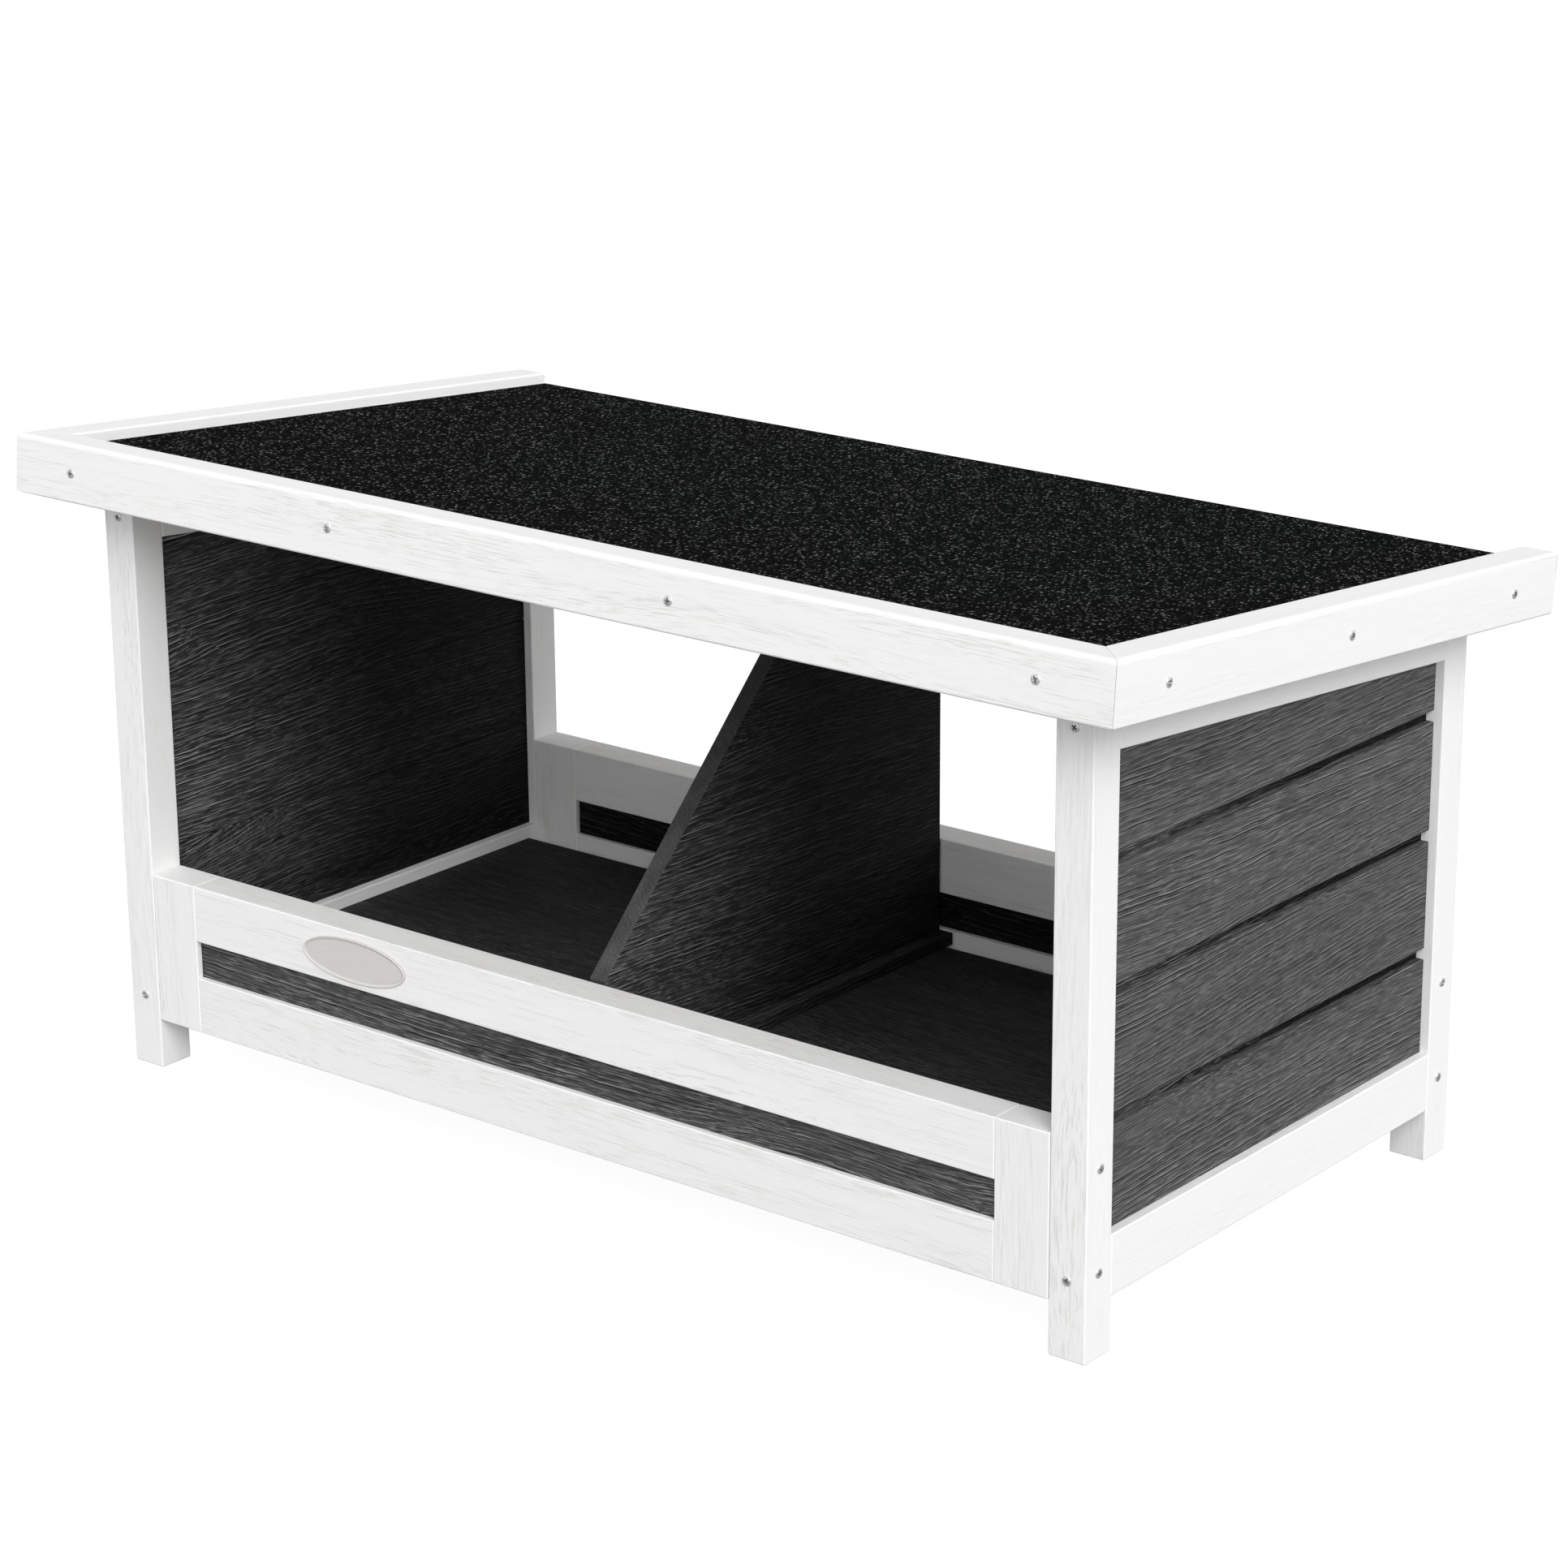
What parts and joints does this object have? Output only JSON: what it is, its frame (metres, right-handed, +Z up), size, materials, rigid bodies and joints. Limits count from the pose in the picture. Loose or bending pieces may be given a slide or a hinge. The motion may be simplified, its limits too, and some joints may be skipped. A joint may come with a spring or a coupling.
{
  "type": "two-bay raised pet shelter",
  "caption": "Raised wooden pet shelter with two open bays, a slanted divider, low panels front and rear, and a felted roof that falls to the rear.",
  "frame": {"origin": "on the ground, midway between the four feet", "axes": "+X to the right across both bays, -Y to the front where the badge and the high edge of the roof are, +Z up"},
  "size_m": [1.0038, 0.5618, 0.5065],
  "materials": {
    "white_wood": "white-washed softwood, brushed, matt, with thin grey grain showing",
    "charcoal_wood": "charcoal-stained softwood, wire-brushed, matt",
    "roof_plywood": "bare plywood",
    "roof_felt": "bitumen roofing felt with fine mineral granules",
    "zinc_screw": "bright zinc plate",
    "badge_plate": "satin, greige"
  },
  "bodies": {
    "root": {"badge_plate": "badge_plate", "divider": "charcoal_wood", "divider_batten": "charcoal_wood", "fascia_front": "white_wood", "fascia_left": "white_wood", "fascia_right": "white_wood", "floor_bearer_left": "white_wood", "floor_bearer_right": "white_wood", "floor_board": "charcoal_wood", "front_panel_bottom_rail": "white_wood", "front_panel_insert": "charcoal_wood", "front_panel_stile_left": "white_wood", "front_panel_stile_right": "white_wood", "front_panel_top_rail": "white_wood", "post_front_left": "white_wood", "post_front_right": "white_wood", "post_rear_left": "white_wood", "post_rear_right": "white_wood", "rear_panel_bottom_rail": "white_wood", "rear_panel_insert": "charcoal_wood", "rear_panel_stile_left": "white_wood", "rear_panel_stile_right": "white_wood", "rear_panel_top_rail": "white_wood", "roof_batten_centre": "white_wood", "roof_batten_front": "white_wood", "roof_batten_left": "white_wood", "roof_batten_rear": "white_wood", "roof_batten_right": "white_wood", "roof_deck": "roof_plywood", "roof_felt": "roof_felt", "screw_fascia_front_1": "zinc_screw", "screw_fascia_front_2": "zinc_screw", "screw_fascia_front_3": "zinc_screw", "screw_fascia_front_4": "zinc_screw", "screw_fascia_left_1": "zinc_screw", "screw_fascia_left_2": "zinc_screw", "screw_fascia_left_3": "zinc_screw", "screw_fascia_right_1": "zinc_screw", "screw_fascia_right_2": "zinc_screw", "screw_fascia_right_3": "zinc_screw", "screw_post_front_left_1": "zinc_screw", "screw_post_front_left_2": "zinc_screw", "screw_post_front_right_1": "zinc_screw", "screw_post_front_right_2": "zinc_screw", "screw_post_front_right_side_1": "zinc_screw", "screw_post_front_right_side_2": "zinc_screw", "screw_post_rear_right_side_1": "zinc_screw", "screw_post_rear_right_side_2": "zinc_screw", "side_bottom_rail_left": "white_wood", "side_bottom_rail_right": "white_wood", "side_plank_left_1": "charcoal_wood", "side_plank_left_2": "charcoal_wood", "side_plank_left_3": "charcoal_wood", "side_plank_left_4": "charcoal_wood", "side_plank_right_1": "charcoal_wood", "side_plank_right_2": "charcoal_wood", "side_plank_right_3": "charcoal_wood", "side_plank_right_4": "charcoal_wood", "side_top_rail_left": "white_wood", "side_top_rail_right": "white_wood"}
  },
  "joints": []
}
